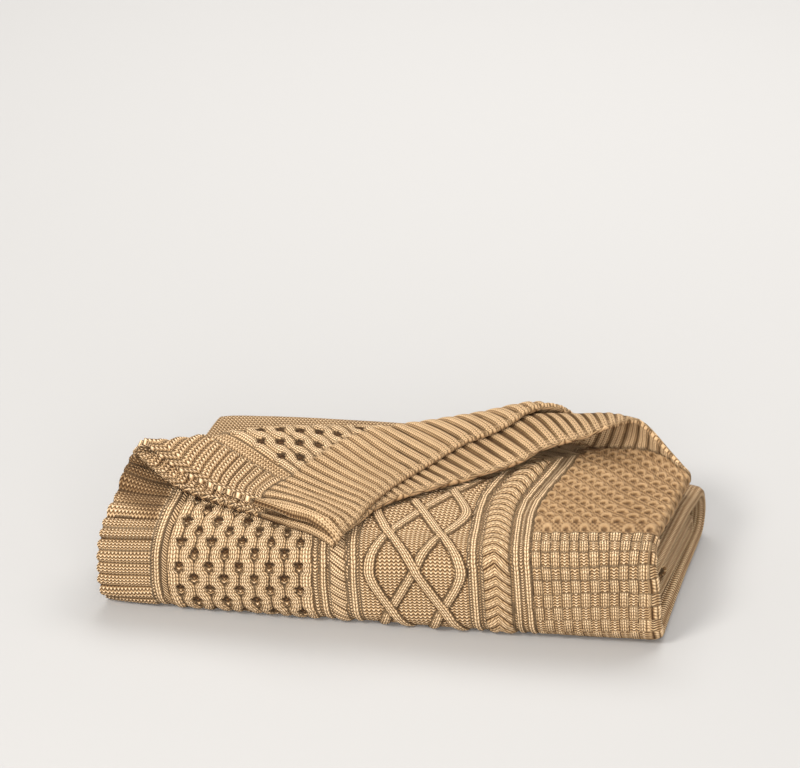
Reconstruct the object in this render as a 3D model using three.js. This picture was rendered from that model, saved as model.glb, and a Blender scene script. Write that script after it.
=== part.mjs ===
import * as THREE from 'three';

// Knit throw blanket, folded: one piece of cable knit, 1270 mm wide and 1520 mm long.
// It is folded in half across its width, so it lies as a pair of leaves: the near leaf (u from 0) and
// the far leaf (u from 1270), closed at the right and open at the left. The pair is then rolled along
// its length into five layers, and the corner of the top layer is turned over toward the front.
// Millimetres, +Z up, front toward -Y. u runs across the throw and v along it, from the inmost end.

// Sizes
const WIDTH = 1270;
const LENGTH = 1520;
const THICK = 5.5;            // cloth between the raised stitches
const PAIR = 10;              // middle of one leaf to middle of the other
const LEAN = 0.165;           // the pile leans right toward its back
const LEAN_FROM = -150;
const ROW_TILT = 0.088;       // rows rise to the right on the front face
const SIDE_BAND = 64;
const END_BAND = 74;
const ORIGIN = [12.82, 20.86]; // middle of the pile's box, moved to the origin

// Half of the fold at the right, and where the cloth enters and leaves it
const BEND = PAIR / 2;
const BEND_IN = (WIDTH - Math.PI * BEND) / 2;
const BEND_OUT = (WIDTH + Math.PI * BEND) / 2;

const table = (columns, rows) => {
  const list = Object.fromEntries(columns.map((name, i) => [name, rows.map((row) => row[i])]));
  list.count = rows.length;
  return list;
};

// Shape across the pile, left to right: depth of the front foot, front face, brow and rear loop, height
// of the rear loop, how far the top rises to its fold, where that fold lies, the way it is folded over
// in degrees, the radius of the roll there, and how far each leaf's end reaches from the brow
const ACROSS = table(
  ['x', 'foot', 'face', 'brow', 'rear', 'upper', 'rise', 'fold', 'aim', 'roll', 'nearEnd', 'farEnd'],
  [
    [-314, -130, -151, -113, 160, 70, 20, -78, 34, 9, 306, 350],
    [-300, -133, -154, -116, 166, 71, 19, -72, 34, 9, 301, 340],
    [-257, -135, -156, -119, 172, 72, 15, -46, 32, 9, 309, 345],
    [-194, -136, -157, -121, 176, 72, 10, -1, 30, 9, 295, 324],
    [-120, -138, -159, -125, 178, 72, 6, 24, 28, 10, 286, 300],
    [-43, -139, -160, -128, 176, 71, 2, 42, 27, 11, 303, 294],
    [38, -139, -160, -132, 165, 70, 0, 76, 25, 14, 329, 315],
    [104, -139, -160, -138, 149, 68, -1, 102, 22, 18, 331, 305],
    [150, -139, -160, -141, 134, 66, -3, 103, 16, 20, 327, 284],
    [190, -138, -159, -142, 122, 64, -4, 100, 8, 22, 314, 267],
    [215, -137, -158, -142, 113, 63, -6, 97, 2, 22, 293, 254],
    [240, -136, -157, -141, 103, 62, -8, 90, -4, 16, 264, 239],
    [262, -135, -156, -140, 95, 61, -11, 80, -8, 10, 238, 226],
    [291, -134, -155, -139, 86, 60, -11, 65, -8, 6, 204, 207],
  ],
);

// Shape along the cloth: where the fold at the right starts, where the edges at the left lie, how much
// further in the far leaf ends, and how far the fold bows out
const ALONG = table(
  ['v', 'right', 'left', 'inset', 'bow'],
  [
    [0, 286, -296, 10, 5],
    [190, 286, -296, 10, 5],
    [220, 286, -298, 10, 5],
    [450, 285, -300, 10, 5],
    [515, 286, -302, 10, 5],
    [770, 287, -302, 10, 5],
    [868, 289, -303, 10, 6],
    [960, 290, -304, 9, 8],
    [1098, 293, -305, 8, 14],
    [1165, 291, -312, 2, 11],
    [1232, 283, -309, -2, 6],
    [1290, 278, -314, -2, 5],
    [1350, 278, -325, -4, 5],
    [1450, 278, -318, -5, 5],
    [1520, 277, -302, 6, 5],
  ],
);

// v where each layer or turn ends: first layer, turn, second layer, turn, third layer, rear loop,
// bottom layer, front face, top layer with its turned corner
const ENDS = [0, 190, 218, 448, 508, 768, 866, 1100, 1232, LENGTH];
// Heights of the middle of the pair in the first, second, third, bottom and top layer
const HEIGHT = { first: 47.3, second: 27.8, third: 66.8, bottom: 7.75, top: 102 };
const BULGE = 3;              // front face swells this far
const START_BACK = 46;        // the first layer starts this far behind the front turns
const FRONT_TURN = 17;        // inner turns sit behind the foot
const REAR_TURN = 34;         // inner turn sits in front of the rear loop
const SET = 100;              // length of top layer that lies as it was knitted

// Turned corner: how each leaf spreads and slews, and its height above the top layer
const NEAR = { spread: 1.137, slew: 0.076, above: 9.5 };
const FAR = { spread: 1.113, slew: -0.041, above: 17.5 };
const SETTLE = 60;
const HANG = 1.22;            // the corner rounds the brow this much more widely

const clamp = (t, low, high) => Math.min(Math.max(t, low), high);
const ease = (t) => {
  const c = clamp(t, 0, 1);
  return c * c * (3 - 2 * c);
};
const mix = (a, b, t) => a + (b - a) * t;

const straight = (xs, ys, x) => {
  if (x <= xs[0]) return ys[0];
  for (let i = 1; i < xs.length; i += 1) {
    if (x < xs[i]) return mix(ys[i - 1], ys[i], (x - xs[i - 1]) / (xs[i] - xs[i - 1]));
  }
  return ys[xs.length - 1];
};

// Smooth curve through a column, without overshoot
const slopes = (xs, ys) => {
  const d = xs.slice(1).map((x, i) => (ys[i + 1] - ys[i]) / (x - xs[i]));
  return xs.map((x, i) => {
    if (i === 0) return d[0];
    if (i === xs.length - 1) return d[i - 1];
    if (d[i - 1] * d[i] <= 0) return 0;
    const before = x - xs[i - 1];
    const after = xs[i + 1] - x;
    const m = (d[i - 1] * after + d[i] * before) / (before + after);
    const most = 3 * Math.min(Math.abs(d[i - 1]), Math.abs(d[i]));
    return Math.sign(m) * Math.min(Math.abs(m), most);
  });
};
const bend = {};
const across = (name, x) => {
  const xs = ACROSS.x;
  const ys = ACROSS[name];
  bend[name] = bend[name] || slopes(xs, ys);
  const at = clamp(x, xs[0], xs[xs.length - 1]);
  let i = 0;
  while (i < xs.length - 2 && at >= xs[i + 1]) i += 1;
  const h = xs[i + 1] - xs[i];
  const t = (at - xs[i]) / h;
  const t2 = t * t;
  const t3 = t2 * t;
  return (
    (2 * t3 - 3 * t2 + 1) * ys[i] +
    (t3 - 2 * t2 + t) * h * bend[name][i] +
    (3 * t2 - 2 * t3) * ys[i + 1] +
    (t3 - t2) * h * bend[name][i + 1]
  );
};
const along = (name, v) => straight(ALONG.v, ALONG[name], v);

// A turn between two layers: point and direction on a curve that bulges by the given reach
const turn = (y0, z0, y1, z1, out0, out1, t) => {
  const s = 1 - t;
  const a = [y0, y0 + out0, y1 + out1, y1];
  const b = [z0, z0, z1, z1];
  const point = (p) => s * s * s * p[0] + 3 * s * s * t * p[1] + 3 * s * t * t * p[2] + t * t * t * p[3];
  const way = (p) => s * s * (p[1] - p[0]) + 2 * s * t * (p[2] - p[1]) + t * t * (p[3] - p[2]);
  return [point(a), point(b), way(a), way(b)];
};

// Front face from the foot up to the brow: two round corners and a slightly swollen face between them
const frontFace = (foot, face, brow, t) => {
  const { bottom, top } = HEIGHT;
  const low = foot - face;
  const high = brow - face;
  const climb = top - bottom - low - high;
  const gone = t * (((low + high) * Math.PI) / 2 + climb);
  const start = clamp(gone / low, 0, Math.PI / 2);
  const rise = clamp(gone - (low * Math.PI) / 2, 0, climb);
  const end = clamp((gone - (low * Math.PI) / 2 - climb) / high, 0, Math.PI / 2);
  const y = foot - low * Math.sin(start) + high * (1 - Math.cos(end)) - BULGE * Math.sin(Math.PI * t) ** 2;
  const z = bottom + low * (1 - Math.cos(start)) + rise + high * Math.sin(end);
  return [y, z, Math.sin(end) - Math.cos(start), Math.sin(start) * Math.cos(end) + 1e-6];
};

// Height of the middle of the near leaf on the top layer; it drops round the brow
const topHeight = (x, y, wider = 1) => {
  const brow = across('brow', x);
  const fold = across('fold', x);
  const round = brow - across('face', x);
  const rise = across('rise', x) * ease((y - brow) / Math.max(fold - brow, 1));
  const past = clamp((brow - y) / (round * wider), 0, 0.97);
  return HEIGHT.top + BEND + rise - 1.04 * round * (1 - Math.sqrt(1 - past * past));
};

// How far a point of the cloth is counted along its layers, with the tilt of the rows
const paidOut = (x, v) => {
  const share = ease((v - 900) / 150) * (1 - ease((v - 1140) / 260));
  return v + ROW_TILT * clamp(x, -312, 291) * share;
};

// Middle of the cloth at (u, v), before the lean; lap is how far it lies past the top fold
function flatPlace(u, v) {
  const right = along('right', v);
  const left = along('left', v);
  const swing = clamp((u - BEND_IN) / (BEND_OUT - BEND_IN), 0, 1) * Math.PI;
  let x = right + along('bow', v) * Math.sin(swing);
  if (u < BEND_IN) x = left + ((right - left) * u) / BEND_IN;
  if (u > BEND_OUT) x = right - ((right - left - along('inset', v)) * (u - BEND_OUT)) / BEND_IN;
  const h = BEND * Math.cos(swing);
  const xs = clamp(x, -312, 291);
  const ve = paidOut(x, v);
  const foot = across('foot', xs);
  const face = across('face', xs);
  const brow = across('brow', xs);
  const rear = across('rear', xs);
  const upper = across('upper', xs);
  const front = foot + FRONT_TURN;
  const back = rear - REAR_TURN;
  const { first, second, third, bottom } = HEIGHT;
  let i = 0;
  while (i < 8 && ve >= ENDS[i + 1]) i += 1;
  const t = (ve - ENDS[i]) / (ENDS[i + 1] - ENDS[i]);
  if (i < 8) {
    const rise = clamp((mix(front, rear, t) - (rear - 60)) / 60, 0, 1);
    const [y, z, dy, dz] = [
      () => [mix(front + START_BACK, back, t), first, 1, 0],
      () => turn(back, first, back, second, 13.5, 13.5, t),
      () => [mix(back, front, t), second, -1, 0],
      () => turn(front, second, front, third, -26, -26, t),
      () => [
        mix(front, rear, t),
        mix(third, upper, ease(rise)),
        1,
        ((upper - third) * 6 * rise * (1 - rise)) / 60,
      ],
      () => turn(rear, upper, rear, bottom, 40, 40, t),
      () => [mix(rear, foot, t), bottom, -1, 0],
      () => frontFace(foot, face, brow, t),
    ][i]();
    const n = Math.hypot(dy, dz);
    return { x, y: y - (dz / n) * h, z: z + (dy / n) * h, ve, lap: -1 };
  }
  // Top layer, turned over past its fold
  const near = (h / BEND + 1) / 2;
  const off = h - BEND;
  const reach = mix(across('farEnd', xs), across('nearEnd', xs), near);
  const gone = Math.max(ve - ENDS[8], 0);
  const run = gone < SET ? gone : SET + ((gone - SET) * (reach - SET)) / (LENGTH - ENDS[8] - SET);
  const yp = brow + run;
  const lap = yp - across('fold', xs);
  if (lap <= 0) return { x, y: yp, z: topHeight(xs, yp) + off, ve, lap };
  const aim = (across('aim', xs) * Math.PI) / 180;
  const mx = -Math.sin(aim);
  const my = Math.cos(aim);
  let d = lap * my;
  for (let k = 0; k < 10; k += 1) d = Math.max((yp - across('fold', xs - d * mx)) / my, 0);
  const fx = xs - d * mx;
  const fy = yp - d * my;
  const inner = across('roll', fx);
  const radius = inner - off;
  const turned = Math.min(d / radius, Math.PI);
  const past = Math.max(d - Math.PI * radius, 0);
  const leaf = near > 0.5 ? NEAR : FAR;
  const px = fx + mx * radius * Math.sin(turned) - mx * leaf.spread * past + my * leaf.slew * past;
  const py = fy + my * radius * Math.sin(turned) - my * leaf.spread * past - mx * leaf.slew * past;
  let z = topHeight(fx, fy) + inner - radius * Math.cos(turned);
  if (past > 0) {
    const slope = clamp((topHeight(px, py + 2, HANG) - topHeight(px, py - 2, HANG)) / 4, -0.7, 0.7);
    const above = leaf.above * Math.hypot(1, slope * ease(past / 20));
    const high = 2 * inner - off - leaf.above;
    z = topHeight(px, py, HANG) + above + high * Math.exp(-((past / SETTLE) ** 2));
  }
  return { x: px + (x - xs), y: py, z, ve, lap };
}

const place = (u, v) => {
  const p = flatPlace(u, v);
  return new THREE.Vector3(p.x + LEAN * (p.y - LEAN_FROM), p.y, p.z);
};

// Direction that the right side of the knit faces
const facing = (u, v) => {
  const e = 1.5;
  const du = place(Math.min(u + e, WIDTH), v).sub(place(Math.max(u - e, 0), v));
  const dv = place(u, Math.min(v + e, LENGTH)).sub(place(u, Math.max(v - e, 0)));
  return du.cross(dv).normalize();
};

// Stitch panels from a side edge to the middle of the throw, mirrored on the other half
const PANELS = table(
  ['from', 'to', 'stitch', 'high'],
  [
    [0, 62, 'welt', 2.4],
    [64, 73.5, 'chain', 1.5],
    [73.5, 85, 'chain', 1.5],
    [88, 248, 'honeycomb', 2.4],
    [260, 271, 'chain', 1.7],
    [272, 292, 'rope', 2.4],
    [296, 308, 'chain', 1.5],
    [308, 432, 'diamond', 2.4],
    [433, 443, 'chain', 1.5],
    [449, 482, 'wheat', 2.2],
    [485, 494, 'chain', 1.4],
    [495, 505, 'chain', 1.4],
    [507, 625, 'basket', 1.9],
    [626, 636, 'chain', 1.4],
  ],
);
// Near leaf: how far up the knitting a point at v lies, and how far its panels slip to the left there
const KNITTED = table(
  ['v', 'row', 'slip'],
  [
    [1100, 1104, 0],
    [1131, 1131, 0],
    [1188, 1180, 0],
    [1200, 1192, 2],
    [1210, 1205, 4],
    [1227, 1229, 7],
    [1274, 1264, 12],
    [1324, 1307, 15],
    [1400, 1371, 7],
    [1520, 1491, 0],
  ],
);
const WELT = { front: 12.3, corner: 9.8, from: 1310, level: 1131 };
const RIB = 16;
const CELL = { from: 79.4, wide: 35.2, tall: 24.6, level: 1131 };
const DIAMOND = { middle: 370, wide: 53, tall: 86, level: 1178, strand: 7 };
const BLOCK = { wide: 9.83, tall: 15.2, level: 1109 };
const ROPE = 24;
const WHEAT = 12.2;

const wave = (t) => 0.5 + 0.5 * Math.cos(2 * Math.PI * t);
const fold1 = (t) => Math.abs(t - Math.round(t));
const arch = (w, from, to) => {
  const t = (2 * w - from - to) / (to - from);
  return Math.max(1 - t * t, 0);
};
const stitches = {
  welt: (w, v) => {
    const { front, corner, from, level } = WELT;
    return wave(0.5 + (v < from ? (v - level) / front : (v - from) / corner));
  },
  chain: (w, v, from, to) => arch(w, from, to),
  honeycomb: (w, v) => {
    const column = (w - CELL.from) / CELL.wide;
    const row = (v - CELL.level) / CELL.tall;
    const pit = (shift) => {
      const a = (column - 0.5 - shift) - Math.round(column - 0.5 - shift);
      const b = (row - shift) - Math.round(row - shift);
      return Math.exp(-((a * 4.2) ** 2) - (b * 4.2) ** 2);
    };
    return 1 - pit(0) - pit(0.5);
  },
  rope: (w, v, from, to) => arch(w, from, to) * (0.45 + 0.55 * wave((w - from) / (to - from) / 2 - v / ROPE)),
  diamond: (w, v) => {
    const side = (w - DIAMOND.middle) / DIAMOND.wide;
    const level = (v - DIAMOND.level) / DIAMOND.tall;
    const gap = Math.min(fold1(side - level), fold1(side + level)) * DIAMOND.wide;
    return Math.max(1 - (gap / DIAMOND.strand) ** 2, 0);
  },
  wheat: (w, v, from, to) => {
    const off = Math.abs(w - (from + to) / 2) / (to - from);
    return 0.45 + 0.55 * wave(v / WHEAT + off);
  },
  basket: (w, v, from) => {
    const odd = Math.floor((w - from) / BLOCK.wide) + Math.floor((v - BLOCK.level) / BLOCK.tall);
    return odd % 2 === 0 ? 1 : 0.15;
  },
};

// Height of the raised stitches on the right side
const raised = (u, v) => {
  const near = u <= WIDTH / 2;
  const slip = straight(KNITTED.v, KNITTED.slip, v) * ease((u - 170) / 120) * (1 - ease((u - 560) / 60));
  const w = near ? u + slip : WIDTH - u;
  const row = near ? straight(KNITTED.v, KNITTED.row, v) : v;
  if (w > 62 && v > LENGTH - END_BAND) {
    return 2.3 * wave(w / RIB) * ease((v - LENGTH + END_BAND) / 6);
  }
  for (let i = 0; i < PANELS.count; i += 1) {
    const [from, to] = [PANELS.from[i], PANELS.to[i]];
    if (w >= from && w < to) return PANELS.high[i] * stitches[PANELS.stitch[i]](w, row, from, to);
  }
  return 0;
};

// Where the right side shows: front face, open top, far leaf of the turned corner, and the roll at
// the right. It is smooth where layers lie on each other and on the ground.
const CAVE = 500;             // near leaf shows inside the roll from here
const FAR_FROM = 850;         // far leaf shows on the turned corner from here
const CORNER = { u: 256, v: 1226, size: 30 };
const shown = (u, v) => {
  const p = flatPlace(u, v);
  if (p.ve < 1100) return 0;
  if (u > BEND_OUT) return ease((p.lap - 6) / 12);
  const under = Math.hypot(u - CORNER.u, v - CORNER.v) / CORNER.size;
  const low = mix(0.3, 1, ease(under));
  if (p.lap > 0) return 0.7 * ease((u - CAVE) / 40);
  return ease((p.ve - 1102) / 16) * low;
};
const right = (u, v) => {
  const lift = THICK / 2 + raised(u, v) * shown(u, v);
  return place(u, v).addScaledVector(facing(u, v), lift);
};
// The wrong side shows on the near leaf's end band, where its ribs stand out a little
const wrong = (u, v) => {
  const p = flatPlace(u, v);
  const band = ease((v - LENGTH + END_BAND) / 6) * ease((p.lap - 60) / 20) * (u < CAVE ? 1 : 0);
  const lift = THICK / 2 + 1.1 * band * wave((u + RIB / 2) / RIB);
  return place(u, v).addScaledVector(facing(u, v), -lift);
};

// Rows and columns of points. Rows lie at one v; columns are close where the stitches show.
const steps = (from, to, step) => {
  const count = Math.max(Math.round((to - from) / step), 1);
  return Array.from({ length: count + 1 }, (_, i) => mix(from, to, i / count));
};
const HIDDEN_ROWS = [
  0, 100, 190, 199, 208.5, 218, 330, 448, 458, 468, 478, 488, 498, 508, 640, 708, 738, 768, 782, 796,
  810, 824, 838, 852, 866, 900, 980, 1050, 1072, 1087, 1099, 1109,
];
const OPEN_ROWS = steps(1118.4, LENGTH - END_BAND, 7.9);
const BAND_ROWS = [1452, 1486, LENGTH];
const NEAR_SIDE_ROWS = [...steps(1117.8, 1310, 6.2), 1318, 1326, 1334, 1350, 1400, 1450, LENGTH];
const FAR_SIDE_ROWS = [...steps(1118, 1310, 24), ...steps(1314.9, LENGTH, 4.9)];
const MAIN_ROWS = [...OPEN_ROWS, ...BAND_ROWS];

const NEAR_COLUMNS = [
  ...steps(88, 246.4, 8.8), 254, 260, 265.5, 271, 277, 282, 287, 292, 298, 302, 306, ...steps(312, 430, 9.1),
  434, 438, 442, 449, 457, 465.5, 474, 482, 486, 489.5, 493, 496, 500, 504, ...steps(511.9, 620, 9.83),
];
const BEND_COLUMNS = [627.2, 631, 635, 639, 642.8];
const SIDE_COLUMNS = [0, 20, 42, 62];
const CHAIN_COLUMNS = [64.5, 69, 73.5, 79, 84.5];
const mirror = (list) => list.map((u) => WIDTH - u).reverse();

// Keeps the columns that the row needs: all where stitches show, some round a roll, few elsewhere
const thin = (columns, v, show, round) => {
  let last = -Infinity;
  return columns.filter((u, i) => {
    const p = flatPlace(u, v);
    const rolled = v > 1243 && p.lap > -12 && p.lap < 75;
    const gap = show(u, v, p) ? 0 : rolled ? round : 72;
    const keep = i === 0 || i === columns.length - 1 || u - last >= gap;
    if (keep) last = u;
    return keep;
  });
};
const covered = (p) => p.y > -140 + (p.x + 60) * 0.916 && p.y > -66 - (p.x + 301) * 0.307;
const showsRight = (u, v, p) => {
  if (v < 1112) return false;
  if (u > BEND_OUT) return p.lap > 0 && u > FAR_FROM;
  if (p.lap > 0) return u > CAVE && v > 1390;
  return v < 1254 || !covered(p);
};
const showsWrong = (u, v, p) => v > LENGTH - END_BAND && p.lap > 60 && u > 80 && u < CAVE;

const points = [];
const faces = [];
const vertex = (p) => points.push(p.x - ORIGIN[0], p.y - ORIGIN[1], p.z) / 3 - 1;
const makeRow = (side, v, columns) => columns.map((u) => ({ u, v, id: vertex(side(u, v)) }));
// Joins two lines of points with triangles, moving along whichever line is behind
const join = (a, b, key, flip) => {
  let i = 0;
  let j = 0;
  while (i < a.length - 1 || j < b.length - 1) {
    const stepA = j === b.length - 1 || (i < a.length - 1 && a[i + 1][key] + a[i][key] <= b[j + 1][key] + b[j][key]);
    const face = stepA ? [a[i].id, a[i + 1].id, b[j].id] : [a[i].id, b[j + 1].id, b[j].id];
    faces.push(...(flip ? face.reverse() : face));
    if (stepA) i += 1;
    else j += 1;
  }
};
const joinRows = (rows, key, flip) => rows.slice(1).forEach((row, i) => join(rows[i], row, key, flip));
const columnOf = (rows, last) => rows.map((row) => (last ? row[row.length - 1] : row[0]));

// Right side: hidden rows over the whole width, then three strips with rows of their own
const ALL_NEAR = [...SIDE_COLUMNS, ...CHAIN_COLUMNS, ...NEAR_COLUMNS];
const ALL = [...ALL_NEAR, ...BEND_COLUMNS, ...mirror(ALL_NEAR)];
const MAIN = [...CHAIN_COLUMNS, ...NEAR_COLUMNS, ...BEND_COLUMNS, ...mirror(NEAR_COLUMNS), ...mirror(CHAIN_COLUMNS)];
const bendOnly = (u, v) => Math.abs(u - WIDTH / 2) < 9;
const hiddenRows = HIDDEN_ROWS.map((v) => makeRow(right, v, thin(ALL, v, bendOnly, 15)));
const mainRows = MAIN_ROWS.map((v) =>
  makeRow(right, v, thin(MAIN, v, (u, row, p) => bendOnly(u) || showsRight(u, row, p), 15)),
);
const nearRows = NEAR_SIDE_ROWS.map((v) => makeRow(right, v, SIDE_COLUMNS));
const farRows = FAR_SIDE_ROWS.map((v) => makeRow(right, v, mirror(SIDE_COLUMNS)));
joinRows(hiddenRows, 'u', false);
joinRows(nearRows, 'u', false);
joinRows(mainRows, 'u', false);
joinRows(farRows, 'u', false);
join(hiddenRows[hiddenRows.length - 1], [...nearRows[0], ...mainRows[0], ...farRows[0]], 'u', false);
join(columnOf(nearRows, true), columnOf(mainRows, false), 'v', true);
join(columnOf(mainRows, true), columnOf(farRows, false), 'v', true);

// Wrong side
const WRONG_ROWS = [
  0, 100, 190, 199, 208.5, 218, 330, 448, 460, 472, 484, 496, 508, 640, 708, 738, 768, 784, 800, 817, 834,
  850, 866, 900, 980, 1045, 1070, ...steps(1086, 1243, 22.4), ...steps(1256, 1438, 12), 1451, 1486, LENGTH,
];
const WRONG_COLUMNS = [
  0, ...steps(16, 624, 8), 627.2, 635, 642.8, ...mirror(steps(16, 624, 8)), WIDTH,
];
const wrongRows = WRONG_ROWS.map((v) =>
  makeRow(wrong, v, thin(WRONG_COLUMNS, v, (u, row, p) => bendOnly(u) || showsWrong(u, row, p), 19)),
);
joinRows(wrongRows, 'u', true);

// Edges of the cloth
const edge = (rows, last) => columnOf(rows, last);
join(edge(wrongRows, false), [...edge(hiddenRows, false), ...edge(nearRows, false)], 'v', true);
join(edge(wrongRows, true), [...edge(hiddenRows, true), ...edge(farRows, true)], 'v', false);
join(wrongRows[0], hiddenRows[0], 'u', false);
const endRow = [nearRows, mainRows, farRows].flatMap((rows) => rows[rows.length - 1]);
join(wrongRows[wrongRows.length - 1], endRow, 'u', true);

const geometry = new THREE.BufferGeometry();
geometry.setAttribute('position', new THREE.Float32BufferAttribute(points, 3));
geometry.setIndex(faces);
geometry.computeVertexNormals();

const knit = new THREE.MeshStandardMaterial({ color: 0xbf9a68, roughness: 0.9, metalness: 0 });
const group = new THREE.Group();
const throwMesh = new THREE.Mesh(geometry, knit);
throwMesh.name = 'knit_throw';
group.add(throwMesh);

export default group;
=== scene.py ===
"""Cable knit throw blanket, folded, with one corner turned over.

The throw is one piece of knitting, 1270 mm wide and 1520 mm long, and it is built as one closed mesh.
Lengths are millimetres: u runs across the throw, v along it from its inmost end, and w is the place
across one leaf, counted from its open side edge. Blender's own units are metres.
"""

import math

import bmesh
import bpy
import numpy as np
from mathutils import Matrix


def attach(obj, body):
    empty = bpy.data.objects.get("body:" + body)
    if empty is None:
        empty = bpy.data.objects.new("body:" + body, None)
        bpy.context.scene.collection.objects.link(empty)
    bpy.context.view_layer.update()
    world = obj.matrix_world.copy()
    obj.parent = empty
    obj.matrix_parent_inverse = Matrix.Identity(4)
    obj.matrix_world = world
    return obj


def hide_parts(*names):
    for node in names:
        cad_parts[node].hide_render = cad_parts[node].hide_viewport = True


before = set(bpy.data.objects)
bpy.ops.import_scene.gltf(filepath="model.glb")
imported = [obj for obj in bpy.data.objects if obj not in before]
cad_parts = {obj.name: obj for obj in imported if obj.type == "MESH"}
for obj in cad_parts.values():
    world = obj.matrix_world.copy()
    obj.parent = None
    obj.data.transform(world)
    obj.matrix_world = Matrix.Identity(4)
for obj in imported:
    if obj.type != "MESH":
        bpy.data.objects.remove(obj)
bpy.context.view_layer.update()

PER_METRE = 1000.0

# The cloth
WIDTH = 1270.0
LENGTH = 1520.0
THICK = 5.5
END_BAND = 74.0
MIDDLE = WIDTH / 2

# The pair of leaves, folded in half at the right; PAIR is middle of one leaf to middle of the other
PAIR = 10.0
BEND = PAIR / 2
BEND_IN = (WIDTH - math.pi * BEND) / 2
BEND_OUT = (WIDTH + math.pi * BEND) / 2

# The pile leans right toward its back, and its front face's rows rise to the right
LEAN = 0.165
LEAN_FROM = -150.0
ROW_TILT = 0.088
TILT_FROM, TILT_GROWS = 900.0, 150.0
TILT_UNTIL, TILT_FADES = 1140.0, 260.0

# Middle of the pile's box, which is moved to the origin
ORIGIN = np.array([12.82, 20.86, 0.0])


def table(columns, rows):
    values = np.array(rows, float)
    return {name: values[:, i] for i, name in enumerate(columns)}


# The pile from left to right, with the solid's values: depth of the front foot, front face, brow and
# rear loop, height of the rear loop, how far the top rises to its fold, where that fold lies, the way
# it is folded over in degrees, the radius of its roll, and how far each leaf's end reaches.
# The two end columns, and the spread and slew of each leaf further down, were fitted by a scratch
# program to edge points marked by eye on the photo. The other values were set one by one.
ACROSS = table(
    ("x", "foot", "face", "brow", "rear", "upper", "rise", "fold", "aim", "roll", "near_end", "far_end"),
    [
        [-314, -130, -151, -113, 160, 70, 20, -78, 34, 9, 306, 350],
        [-300, -133, -154, -116, 166, 71, 19, -72, 34, 9, 301, 340],
        [-257, -135, -156, -119, 172, 72, 15, -46, 32, 9, 309, 345],
        [-194, -136, -157, -121, 176, 72, 10, -1, 30, 9, 295, 324],
        [-120, -138, -159, -125, 178, 72, 6, 24, 28, 10, 286, 300],
        [-43, -139, -160, -128, 176, 71, 2, 42, 27, 11, 303, 294],
        [38, -139, -160, -132, 165, 70, 0, 76, 25, 14, 329, 315],
        [104, -139, -160, -138, 149, 68, -1, 102, 22, 18, 331, 305],
        [150, -139, -160, -141, 134, 66, -3, 103, 16, 20, 327, 284],
        [190, -138, -159, -142, 122, 64, -4, 100, 8, 22, 314, 267],
        [215, -137, -158, -142, 113, 63, -6, 97, 2, 22, 293, 254],
        [240, -136, -157, -141, 103, 62, -8, 90, -4, 16, 264, 239],
        [262, -135, -156, -140, 95, 61, -11, 80, -8, 10, 238, 226],
        [291, -134, -155, -139, 86, 60, -11, 65, -8, 6, 204, 207],
    ],
)
# The pile's sides along the cloth: where the fold at the right starts, where the edges at the left lie,
# how much further in the far leaf ends, and how far the fold bows out
ALONG = table(
    ("v", "right", "left", "inset", "bow"),
    [
        [0, 286, -296, 10, 5],
        [190, 286, -296, 10, 5],
        [220, 286, -298, 10, 5],
        [450, 285, -300, 10, 5],
        [515, 286, -302, 10, 5],
        [770, 287, -302, 10, 5],
        [868, 289, -303, 10, 6],
        [960, 290, -304, 9, 8],
        [1098, 293, -305, 8, 14],
        [1165, 291, -312, 2, 11],
        [1232, 283, -309, -2, 6],
        [1290, 278, -314, -2, 5],
        [1350, 278, -325, -4, 5],
        [1450, 278, -318, -5, 5],
        [1520, 277, -302, 6, 5],
    ],
)
LEFTMOST, RIGHTMOST = -312.0, 291.0

# Where along the cloth each layer or turn ends, and the height of each layer
ENDS = (0, 190, 218, 448, 508, 768, 866, 1100, 1232, LENGTH)
FIRST, SECOND, THIRD, BOTTOM, TOP = 47.3, 27.8, 66.8, 7.75, 102.0

# How far the hidden turns stay inside the pile, and how far each turn swells out
START_BACK = 46.0
FRONT_TURN = 17.0
REAR_TURN = 34.0
REAR_RISE = 60.0
INNER_SWELL, FRONT_SWELL, REAR_SWELL = 13.5, 26.0, 40.0
BULGE = 3.0
SHOULDER = 1.04
STEEPEST = 0.97

# The turned corner: cloth before it keeps its length over SET, then each leaf spreads and slews, lies
# its own height above the top layer, and settles over SETTLE behind the roll
SET = 100.0
NEAR_SPREAD, NEAR_SLEW, NEAR_ABOVE = 1.137, 0.076, 9.5
FAR_SPREAD, FAR_SLEW, FAR_ABOVE = 1.113, -0.041, 17.5
SETTLE = 60.0
HANG = 1.22
STEEPEST_LIE = 0.7
NOT_TURNED = -1000.0


def ease(t):
    t = np.clip(t, 0, 1)
    return t * t * (3 - 2 * t)


def across(name, x):
    """Smooth curve through a column of ACROSS, without overshoot."""
    xs = ACROSS["x"]
    ys = ACROSS[name]
    step = np.diff(xs)
    slope = np.diff(ys) / step
    inner = (slope[:-1] * step[1:] + slope[1:] * step[:-1]) / (step[1:] + step[:-1])
    most = 3 * np.minimum(np.abs(slope[:-1]), np.abs(slope[1:]))
    inner = np.sign(inner) * np.minimum(np.abs(inner), most)
    inner = np.where(slope[:-1] * slope[1:] <= 0, 0, inner)
    m = np.concatenate([[slope[0]], inner, [slope[-1]]])
    x = np.clip(x, xs[0], xs[-1])
    i = np.clip(np.searchsorted(xs, x, side="right") - 1, 0, len(xs) - 2)
    h = step[i]
    t = (x - xs[i]) / h
    t2 = t * t
    t3 = t2 * t
    low = (2 * t3 - 3 * t2 + 1) * ys[i] + (t3 - 2 * t2 + t) * h * m[i]
    return low + (3 * t2 - 2 * t3) * ys[i + 1] + (t3 - t2) * h * m[i + 1]


def along(name, v):
    return np.interp(v, ALONG["v"], ALONG[name])


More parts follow.
